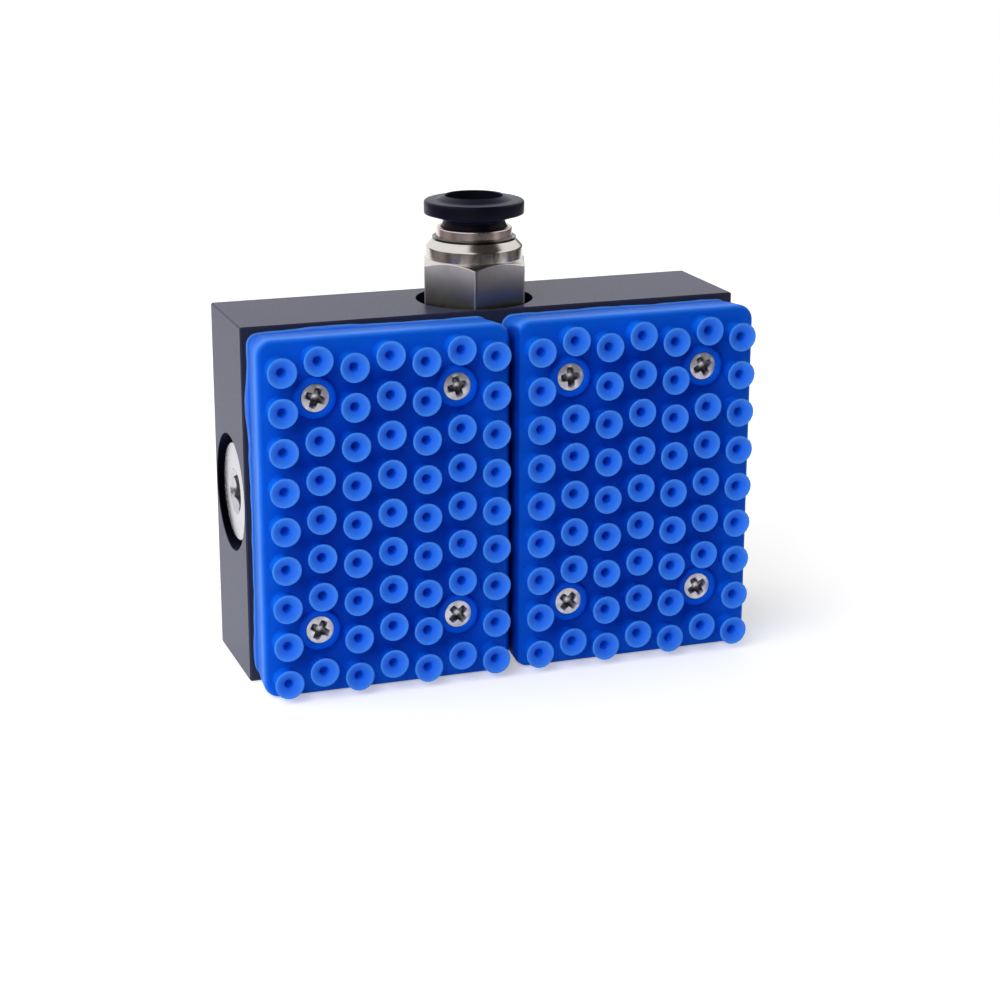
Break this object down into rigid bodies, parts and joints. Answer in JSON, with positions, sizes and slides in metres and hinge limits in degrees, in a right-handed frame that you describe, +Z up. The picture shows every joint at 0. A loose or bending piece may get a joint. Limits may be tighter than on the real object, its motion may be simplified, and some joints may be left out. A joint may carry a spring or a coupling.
{
  "type": "multi-nozzle suction cup",
  "caption": "Vacuum manifold block with two soft pads of small suction nozzles on its front, a push-in tube fitting on top and a plugged side port.",
  "frame": {"origin": "middle of the manifold block's base, straight under the tube fitting", "axes": "+Z up along the tube fitting, +X to the right of someone who faces the nozzles, and the nozzles face -Y"},
  "size_m": [0.072, 0.0279, 0.065],
  "materials": {
    "black_anodised": "satin black anodised",
    "blue_silicone": "satin moulded silicone",
    "screw_steel": "zinc plated",
    "nickel_plate": "bright nickel plate",
    "black_rubber": "matt",
    "spring_steel": "plain",
    "ring_metal": "dull nickel plate",
    "black_plastic": "moulded black"
  },
  "bodies": {
    "cup": {"manifold_block": "black_anodised", "left_nozzle_pad": "blue_silicone", "right_nozzle_pad": "blue_silicone", "left_pad_screws": "screw_steel", "right_pad_screws": "screw_steel", "fitting_body": "nickel_plate", "fitting_seal": "black_rubber", "tube_seal": "black_rubber", "grip_claw": "spring_steel", "guide_ring": "ring_metal", "port_plug": "nickel_plate", "plug_seal": "black_rubber"},
    "sleeve": {"release_sleeve": "black_plastic"}
  },
  "joints": [
    {"name": "sleeve_press", "type": "slide", "parent": "cup", "child": "sleeve", "axis": [0, 0, -1], "range_m": [0, 0.001], "stiffness_N_per_m": 500}
  ]
}
